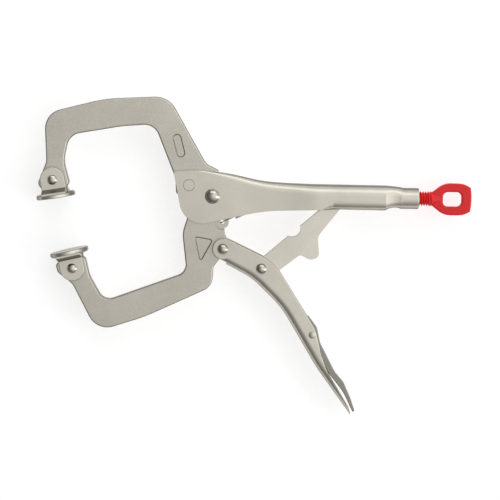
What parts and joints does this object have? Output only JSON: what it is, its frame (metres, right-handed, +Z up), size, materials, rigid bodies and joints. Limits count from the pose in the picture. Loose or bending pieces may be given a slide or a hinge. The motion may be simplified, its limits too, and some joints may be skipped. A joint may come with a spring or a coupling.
{
  "type": "locking c clamp",
  "caption": "Locking C-clamp with wide forged jaws, swivel pads, toggle lever, release lever and a screw adjuster with a red loop.",
  "frame": {"origin": "on the bench, under the middle of the tool's bounding box, with the tool lying on its side as on a bench", "axes": "+X along the adjusting screw from the jaws to the knob, +Y in the tool's plane from the lower jaw to the upper jaw, +Z up from the bench, square to the tool's plane"},
  "size_m": [0.2772, 0.2014, 0.0254],
  "materials": {
    "pressed_steel": "satin nickel plate on pressed sheet, softly glossy",
    "forged_steel": "satin nickel plate over a finely blasted forging",
    "link_steel": "satin nickel plate on a blanked plate",
    "pad_steel": "satin nickel plate on pressed pads",
    "rivet_steel": "bright plated rivet heads",
    "screw_steel": "hardened, lightly oiled",
    "spring_steel": "bright spring wire",
    "red_coat": "red powder coat"
  },
  "bodies": {
    "frame": {"upper_handle": "pressed_steel", "fixed_jaw": "forged_steel", "fixed_jaw_rivet": "rivet_steel", "main_rivet": "rivet_steel", "upper_pad_rivet": "rivet_steel", "opening_spring": "spring_steel"},
    "moving_jaw": {"lower_jaw": "forged_steel", "lower_pad_rivet": "rivet_steel"},
    "lever": {"lever": "pressed_steel", "lever_jaw_rivet": "rivet_steel", "lever_link_rivet": "rivet_steel", "release_pin": "rivet_steel", "link_washers": "rivet_steel"},
    "link": {"toggle_link": "link_steel"},
    "release": {"release_lever": "pressed_steel"},
    "upper_swivel": {"upper_pad": "pad_steel"},
    "lower_swivel": {"lower_pad": "pad_steel"},
    "screw_feed": {"screw_tip": "screw_steel"},
    "screw": {"screw_shank": "red_coat", "screw_knob": "red_coat"}
  },
  "joints": [
    {"name": "lever_swing", "type": "hinge", "parent": "moving_jaw", "child": "lever", "pos_m": [-0.01911, 0.00505, 0.0127], "axis": [0, 0, 1], "range_deg": [0, 63]},
    {"name": "jaw_pivot", "type": "hinge", "parent": "frame", "child": "moving_jaw", "pos_m": [-0.0263, 0.03865, 0.0127], "axis": [0, 0, 1], "range_deg": [-17.5, 0.3], "deforming": ["opening_spring"]},
    {"name": "link_pivot", "type": "hinge", "parent": "lever", "child": "link", "pos_m": [0.0057, -0.00715, 0.0127], "axis": [0, 0, 1], "range_deg": [-66.4, 0.5]},
    {"name": "release_swing", "type": "hinge", "parent": "lever", "child": "release", "pos_m": [0.03909, -0.04915, 0.0127], "axis": [0, 0, 1], "range_deg": [0, 5]},
    {"name": "upper_pad_swivel", "type": "hinge", "parent": "frame", "child": "upper_swivel", "pos_m": [-0.12801, 0.04705, 0.0127], "axis": [0, 0, 1], "range_deg": [-30, 12]},
    {"name": "lower_pad_swivel", "type": "hinge", "parent": "moving_jaw", "child": "lower_swivel", "pos_m": [-0.115, -0.00925, 0.0127], "axis": [0, 0, 1], "range_deg": [-16, 20]},
    {"name": "screw_slide", "type": "slide", "parent": "frame", "child": "screw_feed", "axis": [1, 0, 0], "range_m": [-0.00119, 0.0238]},
    {"name": "screw_turn", "type": "hinge", "parent": "screw_feed", "child": "screw", "pos_m": [0.1137, 0.03935, 0.0127], "axis": [1, 0, 0], "range_deg": [-271, 5401]}
  ],
  "couplings": [
    {"joint": "jaw_pivot", "follows": "lever_swing", "ratio": -0.27302},
    {"joint": "link_pivot", "follows": "lever_swing", "ratio": -1.046},
    {"joint": "screw_turn", "follows": "screw_slide", "rad_per_m": 3957.9}
  ]
}
